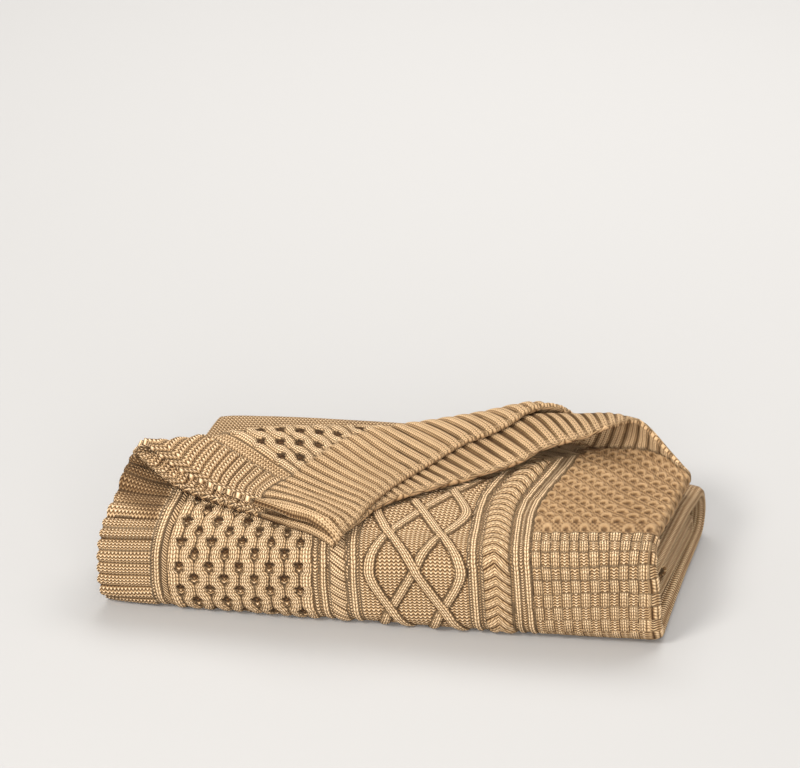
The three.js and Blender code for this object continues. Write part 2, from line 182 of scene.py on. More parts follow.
def turn(y0, z0, y1, z1, out0, out1, t):
    """A turn between two layers: point and direction."""
    s = 1 - t
    ys = (y0, y0 + out0, y1 + out1, y1)
    zs = (z0, z0, z1, z1)

    def point(p):
        return s**3 * p[0] + 3 * s * s * t * p[1] + 3 * s * t * t * p[2] + t**3 * p[3]

    def way(p):
        return s * s * (p[1] - p[0]) + 2 * s * t * (p[2] - p[1]) + t * t * (p[3] - p[2])

    return point(ys), point(zs), way(ys), way(zs)


def front_face(foot, face, brow, t):
    """The front from its foot to its brow: point and direction."""
    low = foot - face
    high = brow - face
    climb = TOP - BOTTOM - low - high
    gone = t * ((low + high) * math.pi / 2 + climb)
    start = np.clip(gone / low, 0, math.pi / 2)
    rise = np.clip(gone - low * math.pi / 2, 0, climb)
    end = np.clip((gone - low * math.pi / 2 - climb) / high, 0, math.pi / 2)
    y = foot - low * np.sin(start) + high * (1 - np.cos(end)) - BULGE * np.sin(math.pi * t) ** 2
    z = BOTTOM + low * (1 - np.cos(start)) + rise + high * np.sin(end)
    return y, z, np.sin(end) - np.cos(start), np.sin(start) * np.cos(end) + 1e-6


def top_height(x, y, wider=1.0):
    """Height of the top layer's upper leaf, and of what hangs over the brow in a wider curve."""
    brow = across("brow", x)
    fold = across("fold", x)
    curve = brow - across("face", x)
    rise = across("rise", x) * ease((y - brow) / np.maximum(fold - brow, 1))
    past = np.clip((brow - y) / (curve * wider), 0, STEEPEST)
    return TOP + BEND + rise - SHOULDER * curve * (1 - np.sqrt(1 - past * past))


def flat_place(u, v):
    """Middle of the cloth before the lean: x, y, z, how far it is along the layers and past the fold."""
    right = along("right", v)
    left = along("left", v)
    inset = along("inset", v)
    swing = np.clip((u - BEND_IN) / (BEND_OUT - BEND_IN), 0, 1) * math.pi
    x = right + along("bow", v) * np.sin(swing)
    x = np.where(u < BEND_IN, left + (right - left) * u / BEND_IN, x)
    x = np.where(u > BEND_OUT, right - (right - left - inset) * (u - BEND_OUT) / BEND_IN, x)
    h = BEND * np.cos(swing)
    xs = np.clip(x, LEFTMOST, RIGHTMOST)
    share = ease((v - TILT_FROM) / TILT_GROWS) * (1 - ease((v - TILT_UNTIL) / TILT_FADES))
    ve = v + ROW_TILT * xs * share
    foot = across("foot", xs)
    face = across("face", xs)
    brow = across("brow", xs)
    rear = across("rear", xs)
    upper = across("upper", xs)
    front = foot + FRONT_TURN
    back = rear - REAR_TURN
    one = np.ones_like(x)
    y = np.zeros_like(x)
    z = np.zeros_like(x)
    dy = np.zeros_like(x)
    dz = np.zeros_like(x)
    for i in range(8):
        here = (ve >= ENDS[i]) & (ve < ENDS[i + 1])
        if i == 0:
            here = ve < ENDS[1]
        if not here.any():
            continue
        t = (ve - ENDS[i]) / (ENDS[i + 1] - ENDS[i])
        if i == 0:
            got = (front + START_BACK + (back - front - START_BACK) * t, FIRST * one, one, 0 * one)
        elif i == 1:
            got = turn(back, FIRST * one, back, SECOND * one, INNER_SWELL, INNER_SWELL, t)
        elif i == 2:
            got = (back + (front - back) * t, SECOND * one, -one, 0 * one)
        elif i == 3:
            got = turn(front, SECOND * one, front, THIRD * one, -FRONT_SWELL, -FRONT_SWELL, t)
        elif i == 4:
            reach = front + (rear - front) * t
            rise = np.clip((reach - (rear - REAR_RISE)) / REAR_RISE, 0, 1)
            steep = (upper - THIRD) * 6 * rise * (1 - rise) / REAR_RISE
            got = (reach, THIRD + (upper - THIRD) * ease(rise), one, steep)
        elif i == 5:
            got = turn(rear, upper, rear, BOTTOM * one, REAR_SWELL, REAR_SWELL, t)
        elif i == 6:
            got = (rear + (foot - rear) * t, BOTTOM * one, -one, 0 * one)
        else:
            got = front_face(foot, face, brow, t)
        y = np.where(here, got[0], y)
        z = np.where(here, got[1], z)
        dy = np.where(here, got[2], dy)
        dz = np.where(here, got[3], dz)
    n = np.sqrt(dy * dy + dz * dz) + 1e-9
    y = y - dz / n * h
    z = z + dy / n * h
    # the top layer and its turned corner
    near = (h / BEND + 1) / 2
    is_near = near > 0.5
    off = h - BEND
    reach = across("far_end", xs) * (1 - near) + across("near_end", xs) * near
    gone = np.maximum(ve - ENDS[8], 0)
    run = np.where(gone < SET, gone, SET + (gone - SET) * (reach - SET) / (LENGTH - ENDS[8] - SET))
    yp = brow + run
    lap = yp - across("fold", xs)
    aim = np.radians(across("aim", xs))
    mx = -np.sin(aim)
    my = np.cos(aim)
    d = np.maximum(lap, 0) * my
    for _ in range(10):
        d = np.maximum((yp - across("fold", xs - d * mx)) / my, 0) * (lap > 0)
    fx = xs - d * mx
    fy = yp - d * my
    roll = across("roll", fx)
    radius = roll - off
    turned = np.minimum(d / radius, math.pi)
    past = np.maximum(d - math.pi * radius, 0)
    spread = np.where(is_near, NEAR_SPREAD, FAR_SPREAD)
    slew = np.where(is_near, NEAR_SLEW, FAR_SLEW)
    over = np.where(is_near, NEAR_ABOVE, FAR_ABOVE)
    px = fx + mx * radius * np.sin(turned) - mx * spread * past + my * slew * past
    py = fy + my * radius * np.sin(turned) - my * spread * past - mx * slew * past
    rolled = top_height(fx, fy) + roll - radius * np.cos(turned)
    slope = (top_height(px, py + 2, HANG) - top_height(px, py - 2, HANG)) / 4
    slope = np.clip(slope, -STEEPEST_LIE, STEEPEST_LIE)
    laid = top_height(px, py, HANG) + over * np.hypot(1, slope * ease(past / 20))
    laid = laid + (2 * roll - off - over) * np.exp(-((past / SETTLE) ** 2))
    pz = np.where(past > 0, laid, rolled)
    flat = lap <= 0
    px = np.where(flat, x, px + x - xs)
    py = np.where(flat, yp, py)
    pz = np.where(flat, top_height(xs, yp) + off, pz)
    top = ve >= ENDS[8]
    lap = np.where(top, lap, NOT_TURNED)
    return np.where(top, px, x), np.where(top, py, y), np.where(top, pz, z), ve, lap


def place(u, v):
    """Middle of the cloth in the leaning pile."""
    x, y, z = flat_place(u, v)[:3]
    return np.stack([x + LEAN * (y - LEAN_FROM), y, z], -1)


def directions(u, v):
    """Unit directions across the throw, along it, and out of its right side."""
    apart = 1.5
    du = place(np.minimum(u + apart, WIDTH), v) - place(np.maximum(u - apart, 0), v)
    dv = place(u, np.minimum(v + apart, LENGTH)) - place(u, np.maximum(v - apart, 0))
    du /= np.linalg.norm(du, axis=-1, keepdims=True) + 1e-9
    dv /= np.linalg.norm(dv, axis=-1, keepdims=True) + 1e-9
    out = np.cross(du, dv)
    out /= np.linalg.norm(out, axis=-1, keepdims=True) + 1e-9
    return du, dv, out


# Rows of the knitting on the near leaf, and how far its panels slip to the left. These and the rows
# of the block panel were read off the photo as places on the cloth, with a scratch program's help.
KNITTED = table(
    ("v", "row", "slip"),
    [
        [1100, 1104, 0],
        [1131, 1131, 0],
        [1188, 1180, 0],
        [1200, 1192, 2],
        [1210, 1205, 4],
        [1227, 1229, 7],
        [1274, 1264, 12],
        [1324, 1307, 15],
        [1400, 1371, 7],
        [1520, 1491, 0],
    ],
)
# Rows of the block panel: v of each row of blocks at the panel's left and right side
BLOCK_ROWS = table(
    ("row", "left", "right"),
    [
        [1093.8, 1092, 1092],
        [1109.0, 1107, 1106],
        [1124.2, 1122, 1122],
        [1139.4, 1140, 1140],
        [1154.6, 1160, 1159],
        [1169.8, 1179, 1178],
        [1185.0, 1194, 1192],
        [1200.2, 1207, 1206],
        [1215.4, 1221, 1228],
        [1230.6, 1246, 1256],
        [1245.8, 1269, 1284],
        [1261.0, 1286, 1302],
        [1276.2, 1296, 1315],
        [1291.4, 1307, 1331],
        [1306.6, 1318, 1350],
        [1321.8, 1329, 1370],
        [1580.2, 1495, 1672],
    ],
)
# Where the ribs of the near leaf's end begin
BAND = table(
    ("u", "start"),
    [
        [470, 1446],
        [500, 1448],
        [540, 1464],
        [580, 1494],
        [604, 1511],
        [665, 1512],
        [740, 1446],
    ],
)

# Stitches: rows and wales of the plain and purl knitting, and of purl beside a chain; rows of the ribs
# and of the hidden cloth; and how densely the purl rows lie on top of the pile, next to 1 in front
ROW = 3.9
WALE = 5.33
PURL_ROW = 3.3
EDGE_WALE = 4.6
EDGE_ROW = 3.1
FINE_ROW = 2.4
HIDDEN_ROW = 4.2
FINE_SHARE = 0.7

# Where the cloth shows: the rows that start on the front face, those of the turned corner's side and
# of the rear loop, and how far to the right the wrong side's relief goes
FACE_FROM = 1092.0
CORNER_FROM = 1310.0
LOOP_FROM = 600
BACK_TO = 560

# Side border of welts and end border of ribs
SIDE_BAND = 62.0
WELT = 12.3
WELT_LEVEL = 1131.0
WELT_WALE = 4.4
CORNER_WELT = 9.8
RIB = 16.0

# Panels from the side edge inward: from, to
LADDER = (75.4, 83.0)
SEAM = (64.0, 83.0)
HONEYCOMB = (82.9, 253.0)
LATTICE = (307.0, 431.0)
WHEAT_FROM, WHEAT_MIDDLE, WHEAT_TO, WHEAT_PITCH, WHEAT_LEVEL = 448.0, 462.3, 478.5, 11.6, 1176.6
BLOCKS = (504.0, 641.0)
ROPE_MIDDLE, ROPE_HALF, ROPE_PITCH, ROPE_LEVEL = 281.5, 8.8, 10.8, 1180.0
# Chains between the panels: middle, half width, how far they stand out
CHAINS = [
    [69.8, 3.4, 1.4],
    [265.5, 3.5, 2.0],
    [299.7, 3.5, 2.0],
    [438.0, 3.5, 2.0],
    [486.2, 3.3, 2.0],
    [498.7, 3.4, 2.0],
]
CHAIN_GUTTER = 3.2

# Honeycomb cells, with the strand at the panel's two sides; a hollow's half width; and its bud
CELL_WIDE, CELL_TALL, CELL_FROM = 35.2, 24.6, 97.0
CELL_SIDE = 8.0
LAST_STRAND = 15.0
HOLLOW, HOLLOW_TAIL = 5.8, 5.0
STRAND_TALL = 3.5
BUD_WIDE, BUD_TALL, BUD_LEVEL = 5.2, 2.3, -4.6

# Crossing cables of the lattice: middle, half reach, height of one whole wave, and a crossing's row
LATTICE_MIDDLE, LATTICE_WIDE, LATTICE_TALL, LATTICE_LEVEL = 370.0, 53.0, 344.0, 1178.0
LATTICE_SHARP = 0.97
CABLE_HALF = 6.2

# Blocks; above ARCH_LEVEL the panel lies on top of the pile, and only the blocks' arched heads show
BLOCK_WIDE, BLOCK_TALL, BLOCK_LEVEL = 10.5, 15.2, 1109.0
ARCH_LEVEL = 1222.0
ARCH_SOFTENS = 24.0


def part(t):
    return t - np.floor(t)


def dome(t, low, high):
    """Round height between two edges."""
    a = np.clip((2 * t - low - high) / (high - low), -1, 1)
    return np.sqrt(1 - a * a)


def hill(t, middle, wide):
    return np.exp(-(((t - middle) / wide) ** 2))


class Knit:
    """Height of the stitches, their wale and row, how purl and how open a place is, and its creases.

    A place is given by w, across one leaf, and by the row of the knitting. open is painted shade: 1 where
    light reaches the yarn and 0 in a deep furrow, which the yarn's colour paints dark. crease counts the
    turns of a cable, where deep is 1.
    """

    def __init__(self, w, row):
        self.w = w
        self.row = row
        self.fine = np.where(row > ARCH_LEVEL, ARCH_LEVEL + FINE_SHARE * (row - ARCH_LEVEL), row) / PURL_ROW
        self.high = np.zeros_like(w)
        self.wale = w / WALE
        self.stitch = row / ROW
        self.purl = np.ones_like(w)
        self.open = np.ones_like(w)
        self.crease = np.zeros_like(w)
        self.deep = np.zeros_like(w)

    def put(self, where, high, wale, stitch, purl, opened):
        self.high = np.where(where, high, self.high)
        self.wale = np.where(where, wale, self.wale)
        self.stitch = np.where(where, stitch, self.stitch)
        self.purl = np.where(where, purl, self.purl)
        self.open = np.where(where, opened, self.open)

    def ground(self):
        """Purl ground between the panels."""
        self.put(self.w > SIDE_BAND, 0.3, self.w / WALE, self.fine, 1, 0.95)

    def chain(self, middle, half, lift):
        """One column of chain stitches with a gutter of purl at each side."""
        side = np.abs(self.w - middle)
        wale = (self.w - middle) / (2 * half) + 0.5
        body = dome(self.w, middle - half, middle + half)
        rising = ease((side - half - 0.8) / 2.4)
        gutter = side < half + CHAIN_GUTTER
        # painted shade: the gutter darkens toward the chain, and the chain toward its edges
        self.put(gutter, 0.4 * rising, self.w / EDGE_WALE, self.row / EDGE_ROW, 1, 0.7 + 0.3 * rising)
        split = 1 - 0.3 * hill(side, 0, 0.9)
        self.put(side < half, 0.2 + lift * body * split, wale, self.row / ROW, 0, 0.45 + 0.55 * body)

    def ladder(self, low, high):
        """Short slanting bars beside a chain."""
        here = (self.w >= low) & (self.w < high)
        slant = self.row + 0.8 * (self.w - low)
        self.put(here, 0.9 * ease((self.w - low) / 3), (self.w - low) / 30, slant / 2.9, 1, 0.7)

    def welt(self, pitch, level, power, tall, bars):
        """Ridges that run across the side border, each with a few rows of purl bars."""
        t = part((self.row - level) / pitch)
        ridge = 1 - np.abs(2 * t - 1) ** power
        here = self.w <= SIDE_BAND + 1.5
        # painted shade in the furrow between two ridges
        opened = 0.08 + 0.92 * np.clip(ridge * 1.7, 0, 1)
        self.put(here, tall * ridge, self.w / WELT_WALE, t * bars, 1, opened)

    def honeycomb(self, low, high, near):
        """Wavy strands side by side; between two of them small hollows, each with a bud in it."""
        here = (self.w >= low) & (self.w < high)
        half = CELL_WIDE / 2
        strand = (self.w - CELL_FROM) / half
        column = np.floor(strand)
        reach = []
        for side in (0, 1):
            level = self.row - WELT_LEVEL - CELL_TALL / 2 * ((column + side) % 2)
            level = (part(level / CELL_TALL + 0.5) - 0.5) * CELL_TALL
            gap = np.maximum(HOLLOW * hill(level, 0.6, 1.8), HOLLOW_TAIL * hill(level, -4.2, 3.0))
            gap = np.where(near, gap, HOLLOW * hill(level, 0, 3.0))
            first = CELL_FROM + half * (column + side)
            gap = np.where((first < low + CELL_SIDE) | (first > high - CELL_SIDE), 0, gap)
            reach.append((level, gap))
        left = np.maximum(strand - column, 0) * half
        right = half - left
        t = (left - reach[0][1]) / (half - reach[0][1] - reach[1][1])
        body = dome(t, 0, 1)
        start = np.where(column < 0, (self.w - low) / (CELL_FROM - low), t)
        body = np.where(column < 0, dome(start, 0, 1), body)
        body = np.where(self.w > high - LAST_STRAND, dome(self.w, high - LAST_STRAND, high), body)
        inside = (t > 0) & (t < 1)
        stitch = self.row / np.where(near, ROW, FINE_ROW)
        # painted shade darkens each strand toward its edges
        self.put(here & inside, STRAND_TALL * body**0.9, t * 2.5, stitch, 0, 0.1 + 0.9 * body**0.9)
        for side, away in ((0, left), (1, right)):
            level, gap = reach[side]
            pit = here & (away <= gap) & (gap > 0.5)
            # each hollow is painted dark as shade, less so on its bud
            bud = np.clip(1 - (away / BUD_WIDE) ** 2, 0, 1) * hill(level, BUD_LEVEL, 1.9) * near
            bud_open = np.clip(1.5 * bud, 0, 0.9)
            self.put(pit, 0.1 + BUD_TALL * bud, away / 5, self.row / PURL_ROW, 1, bud_open)

    def rope(self, middle, half, pitch):
        """Twisted cable: slanting strands, each with stitches that lean the other way."""
        side = self.w - middle
        body = dome(self.w, middle - half, middle + half)
        phase = (self.row - ROPE_LEVEL + 0.58 * side) / pitch
        crease = np.abs(2 * part(phase) - 1) ** 3
        lobe = body**0.8 * (1 - 0.6 * crease)
        here = np.abs(side) < half
        # painted shade darkens the cable toward its sides
        opened = 0.65 + 0.35 * body**0.7
        self.put(here, 0.2 + 3.1 * lobe, phase * 1.5, (self.row - 1.3 * side) / ROW, 0, opened)
        self.crease = np.where(np.abs(side) < half + 3, phase, self.crease)
        self.deep = np.where(np.abs(side) < half - 0.5, 1, self.deep)

    def wheat(self, low, middle, high, pitch):
        """Cable like an ear of wheat: strands that slant up from its middle to both sides."""
        side = self.w - middle
        left = side < 0
        t = np.where(left, (self.w - low) / (middle - low), (high - self.w) / (high - middle))
        body = np.clip(dome(t * 0.93, 0, 1), 0, 1)
        tilt = np.where(left, -0.5, 0.74) * side
        phase = (self.row - WHEAT_LEVEL + tilt) / pitch
        crease = np.abs(2 * part(phase) - 1) ** 3
        lobe = body * (1 - 0.75 * crease)
        here = (self.w >= low) & (self.w < high)
        # painted shade at the cable's edges and in the creases between its strands
        opened = (0.7 + 0.3 * body) * (1 - 0.5 * crease)
        self.put(here, 0.2 + 3.4 * lobe, phase * 2, (self.row + np.abs(side) * 1.3) / ROW, 0.2, opened)
        self.crease = np.where((self.w > low - 3) & (self.w < high + 3), phase, self.crease)
        self.deep = np.where(here & (np.abs(side) > 1), 1, self.deep)

    def lattice(self, low, high):
        """Four cables that weave over and under each other and leave diamonds of purl between them."""
        here = (self.w >= low) & (self.w < high)
        steepest = math.asin(LATTICE_SHARP)
        far_away = 99.0
        cover = np.full_like(self.w, far_away)
        strands = []
        for j in range(4):
            turnabout = 2 * math.pi * ((self.row - LATTICE_LEVEL) / LATTICE_TALL + j / 4)
            line = LATTICE_MIDDLE - LATTICE_WIDE * np.arcsin(LATTICE_SHARP * np.cos(turnabout)) / steepest
            climb = np.sin(turnabout)
            away = (self.w - line) / CABLE_HALF
            strands.append((away, climb))
            cover = np.where(climb < -0.2, np.minimum(cover, np.abs(away)), cover)
        best = np.full_like(self.w, 0.3)
        wale = self.w / WALE
        stitch = self.fine
        purl = np.ones_like(self.w)
        opened = np.full_like(self.w, 0.95)
        for away, climb in strands:
            under = np.where(climb > 0.1, ease((cover - 1.0) / 0.45), 1)
            body = np.sqrt(np.clip(1 - away**2, 0, 1)) * under
            crest = 0.3 + 3.0 * body**0.8
            better = (crest > best) & (body > 0.02)
            best = np.where(better, crest, best)
            wale = np.where(better, away, wale)
            stitch = np.where(better, self.row / (ROW * 0.86), stitch)
            purl = np.where(better, 0, purl)
            # painted shade darkens each cable toward its edges; a painted shadow line outlines it on the
            # purl beside it, where the purl also dips
            opened = np.where(better, 0.22 + 0.78 * body**0.7, opened)
            outline = hill(np.abs(away), 1.22, 0.17) * under
            opened = np.where(purl > 0.5, opened * (1 - 0.85 * outline), opened)
            best = np.where(purl > 0.5, best * (1 - 0.9 * outline), best)
        self.put(here, best, wale, stitch, purl, opened)

    def basket(self, low, high):
        """Raised plain blocks and sunk purl ones in turn; on top of the pile only arches show."""
        here = (self.w >= low) & (self.w < high)
        a = (self.w - low) / BLOCK_WIDE
        b = (self.row - BLOCK_LEVEL) / BLOCK_TALL
        odd = (np.floor(a) + np.floor(b)) % 2
        across_block = 2 * part(a) - 1
        up = 2 * part(b) - 1
        inside = 1 - np.abs(across_block) ** 6
        cap = hill(up, 0.55, 0.35) * (1 - np.abs(across_block) ** 3)
        on_top = ease((self.row - ARCH_LEVEL) / ARCH_SOFTENS)
        raised = 0.7 + 0.5 * inside + 0.8 * cap
        sunk = 0.7 + 0.3 * inside
        ring = np.hypot(across_block / 1.1, (up + 0.75) / 1.5)
        arch = hill(ring, 0.82, 0.3) * (up > -0.85)
        raised = raised * (1 - on_top) + (0.2 + 2.3 * arch) * on_top
        sunk = sunk * (1 - on_top) + 0.6 * on_top
        slit = hill(np.abs(across_block), 1, 0.2)
        foot = hill(up, -1, 0.25)
        # painted shade in the slits between blocks and at each raised block's foot, and a painted highlight
        # on its cap
        raised_open = (0.78 + 0.4 * cap) * (1 - 0.9 * slit) * (1 - 0.5 * foot * slit)
        sunk_open = 1 - 0.45 * slit

        # from a little above the brow the wale only sets how bright a place is, from 0 to a quarter: each
        # arch is painted lit, the hole under it is painted shade, and a painted speckle of light and shade
        # stands for the stitches
        flat = self.row > ARCH_LEVEL + 6
        flat_stitch, flat_open, brightest = 0.62, 0.3, 0.25
        lit = np.clip(1.5 * arch * (odd == 1), 0, 1)
        hole_shade = np.clip(1.2 * hill(ring, 0.1, 0.34) * (odd == 1), 0, 1)
        speckle = 0.52 + 0.36 * np.sin(4 * math.pi * a) * np.sin(4 * math.pi * b)
        bright = (speckle * (1 - lit) + lit) * (1 - 0.85 * hole_shade)
        wale = np.where(flat, brightest * bright, a * 2)
        raised_row = np.where(flat, flat_stitch, b * 4)
        sunk_row = np.where(flat, flat_stitch, b * 5 + 0.5)
        raised_open = np.where(flat, flat_open, raised_open)
        sunk_open = np.where(flat, flat_open, sunk_open)
        self.put(here & (odd == 1), raised, wale, raised_row, 0, raised_open)
        self.put(here & (odd == 0), sunk, wale, sunk_row, 1 - flat, sunk_open)

    def ribs(self, start, v, power, tall, gap):
        """Ribs of the end border, with small beads along the cast-off edge."""
        t = self.w / RIB
        side = np.abs(part(t) - 0.5) * 2
        shape = 1 - side**power
        band = ease((v - start) / 5)
        bead = hill(v, LENGTH - 1.5, 3) * (0.6 + 0.4 * np.cos(4 * math.pi * t))
        ending = 1 - 0.9 * ease((v - LENGTH + 8) / 6)
        high = (tall * shape * ending + 1.5 * bead) * (0.5 + 0.5 * band)
        # painted shade in the grooves between ribs; the beads stay light
        opened = 0.02 + 0.9 * ease((1.0 - side) / gap)
        opened = np.maximum(opened, 0.8 * bead)
        self.put(v > start, high, part(t) * 3, v / FINE_ROW, 0.5, opened)


def near_rows(w, v):
    """Row of the knitting at v on the near leaf; the block panel has its own count on top."""
    plain = np.interp(v, KNITTED["v"], KNITTED["row"])
    left = np.interp(v, BLOCK_ROWS["left"], BLOCK_ROWS["row"])
    right = np.interp(v, BLOCK_ROWS["right"], BLOCK_ROWS["row"])
    share = np.clip((w - 515) / 107, 0, 1)
    blocks = left + (right - left) * share
    return plain + (blocks - plain) * ease((w - BLOCKS[0] + 16) / 16)


def right_side(u, v):
    """Stitches of the throw's right side."""
    near = u <= MIDDLE
    slip = np.interp(v, KNITTED["v"], KNITTED["slip"])
    slip = slip * ease((u - 170) / 120) * (1 - ease((u - 560) / 60))
    w = np.where(near, u + slip, WIDTH - u)
    bent = near_rows(MIDDLE + 0 * w, v)
    row = np.where(near, near_rows(w, v), bent + (v - bent) * ease((u - 645) / 60))
    row = np.where(v < FACE_FROM, v, row)
    wander = 0.35 * np.sin(row / 17 + w / 61) + 0.3 * np.sin(row / 41 + w / 23)
    inner = ease((w - 4) / 10) * ease((MIDDLE - 8 - w) / 10)
    knit = Knit(w + wander * inner, row + 0.4 * np.sin(w / 29 + row / 53) * inner)
    knit.ground()
    knit.welt(WELT, WELT_LEVEL, np.where(near, 3.0, 2.0), np.where(near, 2.9, 4.2), 4)
    corner = Knit(w, v)
    corner.welt(CORNER_WELT, CORNER_FROM, 1.7, 4.8, 2)
    corner_here = (w <= SIDE_BAND) & (v > CORNER_FROM)
    knit.put(corner_here, corner.high, corner.wale, corner.stitch, 1, corner.open)
    for middle, half, lift in CHAINS:
        knit.chain(middle, half, lift)
    knit.ladder(*LADDER)
    seam = (w > SEAM[0]) & (w < SEAM[1]) & ~near
    knit.put(seam, 0.35 * knit.high, knit.w / WALE, knit.row / 3, 0.8, 0.6 + 0.3 * knit.open)
    knit.honeycomb(*HONEYCOMB, near)
    knit.rope(ROPE_MIDDLE, ROPE_HALF, ROPE_PITCH)
    knit.lattice(*LATTICE)
    knit.wheat(WHEAT_FROM, WHEAT_MIDDLE, WHEAT_TO, WHEAT_PITCH)
    knit.basket(*BLOCKS)
    band = np.interp(u, BAND["u"], BAND["start"])
    knit.ribs(band, v, 2.6, 4.2, 0.36)

    # inside and under the pile the cloth is plain
    hidden = v < FACE_FROM
    knit.put(hidden, 0.4, w / EDGE_WALE, v / HIDDEN_ROW, 1, 0.85)
    knit.deep = np.where(hidden | (v > band), 0, knit.deep)

    # painted shade darkens the side border where the turned corner hangs over it
    shade = ease((SIDE_BAND - w) / 6) * ease((v - 1216 - 0.5 * (48 - w)) / 24) * near
    knit.open = knit.open * (1 - 0.6 * shade)
    return knit


def wrong_side(u, v):
    """Stitches of the throw's wrong side, where furrows lie behind the right side's ridges."""
    back = Knit(np.where(u > MIDDLE, WIDTH - u, u), v)
    everywhere = np.full(u.shape, True)
    back.put(everywhere, 0, back.w / WALE, v / ROW, 1, 0.7)
    back.welt(CORNER_WELT, CORNER_FROM + CORNER_WELT / 2, 1.7, 5.4, 2)
    back.w = back.w + RIB / 2
    back.ribs(LENGTH - END_BAND, v, 2.0, 4.6, 0.3 + 0.5 * np.clip((LENGTH - 4 - v) / 22, 0, 1))
    return back


# From here to the fold at the right the near leaf's turned end arches up and shows its right side
ARCH_FROM = 500.0

# Spot on the front face where the turned corner's point rests and flattens the stitches
CORNER_U, CORNER_V, CORNER_SIZE = 256.0, 1226.0, 30.0


def shown(u, v, ve, lap):
    """Share of the relief that stands out; none where layers lie on each other or on the floor."""
    loop = ease((ve - LOOP_FROM) / 30) * (1 - ease((ve - 842) / 20)) * (u < MIDDLE)
    front = ease((ve - 1102) / 12)
    under = np.hypot(u - CORNER_U, v - CORNER_V) / CORNER_SIZE
    front = front * (0.35 + 0.65 * ease(under))
    folded = 0.7 * ease((u - ARCH_FROM) / 40)
    near = np.where(lap > 0, folded, front)
    far = ease((lap - 16) / 22)
    value = np.where(u > BEND_OUT, far, near)
    value = np.where((u > BEND_IN) & (u <= BEND_OUT), front, value)
    return np.where(ve < ENDS[7], 0.8 * loop, value)


def uneven(u, v):
    """Slow swells of the cloth."""
    a = np.sin(u / 31 + 1.3) * np.sin(v / 27 + u / 90)
    b = np.sin(u / 57 - v / 43 + 2.1)
    return 0.45 * a + 0.45 * b


# Rows and columns of points
def steps(low, high, step):
    count = max(int(round((high - low) / step)), 1)
    return [low + (high - low) * i / count for i in range(count + 1)]


def mirrored(columns):
    return [WIDTH - u for u in reversed(columns)]


# Columns of the right side: side border, seam, honeycomb, rope and chains, lattice, wheat, blocks
HALF_COLUMNS = steps(0, 62.2, 2.3)
HALF_COLUMNS += [63.8, 65.4, 67.0, 68.4, 69.8, 71.2, 72.6, 74.0, 75.6, 77.4, 79.4, 81.2]
HALF_COLUMNS += steps(82.92, 253.64, 1.76) + steps(255.4, 309, 1.75) + steps(310.7, 432, 1.8)
HALF_COLUMNS += steps(433.6, 502.4, 1.7) + steps(504, 630, 1.75)
BEND_COLUMNS = [631.6, 633.3, 635.0, 636.7, 638.4]
COLUMNS = np.array(HALF_COLUMNS + BEND_COLUMNS + mirrored(HALF_COLUMNS))

# Rows of the right side: hidden layers, rear loop, floor, and all that shows from the front foot on.
# They lie close from CLOSE_FROM; the front face starts at FRONT_FROM.
CLOSE_FROM, FRONT_FROM = 1083, 1098
QUIET_ROWS = [0, 60, 120, 190, 199, 208.5, 218, 330, 448, 458, 468, 478, 488, 498, 508, 560, LOOP_FROM]
LOOP_ROWS = steps(606, 868, 3.9)
FLOOR_ROWS = [880, 900, 950, 1000, 1040, 1062, 1070, 1076, 1080]
OPEN_ROWS = steps(CLOSE_FROM, 1236, 2.0) + steps(1238.3, 1304, 2.35) + steps(1306, 1434, 2.0)
LAST_ROWS = [1513.5, 1516, 1518, LENGTH]
ROWS = QUIET_ROWS + LOOP_ROWS + FLOOR_ROWS + OPEN_ROWS + steps(1436.5, 1511, 3.1) + LAST_ROWS

# Rows and columns of the wrong side, which shows only at the left edge and on the turned corner
WRONG_HALF = steps(0, 632, 2.6)
WRONG_COLUMNS = np.array(WRONG_HALF[:-1] + [632.0, 635.0, 638.0] + mirrored(WRONG_HALF)[1:])
WRONG_ROWS = QUIET_ROWS + steps(640, 868, 14) + [900, 950, 1000, 1045] + steps(1070, 1300, 9)
WRONG_ROWS += steps(1303, 1434, 2.7) + steps(1437.5, 1511, 3.7) + LAST_ROWS

# Millimetres between the columns that are kept where nothing shows, near a roll, and in the rear loop
HIDDEN_GAP = 26.0
ROLL_GAP, WRONG_ROLL_GAP = 7.0, 9.0
LOOP_GAP = 3.4
FOOT_GAP = 8.0


def covered(x, y):
    """Under the turned corner or far enough behind its edges to be out of sight."""
    reach = 16 * ease((x - 40) / 60)
    return (y > -133 + (x + 60) * 0.916 + reach) & (y > -58 - (x + 301) * 0.307)


def thinned(columns, wanted, gap):
    """Columns of one row: its ends, all that are wanted, and others every gap millimetres."""
    chosen = []
    last = 0.0
    for i, u in enumerate(columns):
        at_end = i == 0 or i == len(columns) - 1
        if wanted[i] or at_end or u - last >= gap[i]:
            chosen.append(u)
            last = u
    return np.array(chosen)


def right_rows():
    rows = []
    near = COLUMNS < BEND_IN
    far = COLUMNS > BEND_OUT
    bend = (~near) & (~far)
    every_other = np.arange(len(COLUMNS)) % 2 == 0
    for v in ROWS:
        x, y, _, ve, lap = flat_place(COLUMNS, np.full_like(COLUMNS, v))
        open_near = near & (ve > FRONT_FROM) & (lap <= 0) & ~covered(x, y)
        arch = near & (lap > 0) & (COLUMNS > ARCH_FROM) & (v > 1390)
        open_far = far & (lap > -8)
        wanted = (open_near | arch | open_far | bend) & (v > CLOSE_FROM) | (bend & every_other)
        gap = np.full_like(COLUMNS, HIDDEN_GAP)
        gap = np.where((lap > -15) & (lap < 60), ROLL_GAP, gap)
        gap = np.where((v > LOOP_FROM) & (v < 870) & near, LOOP_GAP, gap)
        gap = np.where((v > CLOSE_FROM) & (ve <= FRONT_FROM) & near, FOOT_GAP, gap)
        rows.append((v, thinned(COLUMNS, wanted, gap)))
    return rows


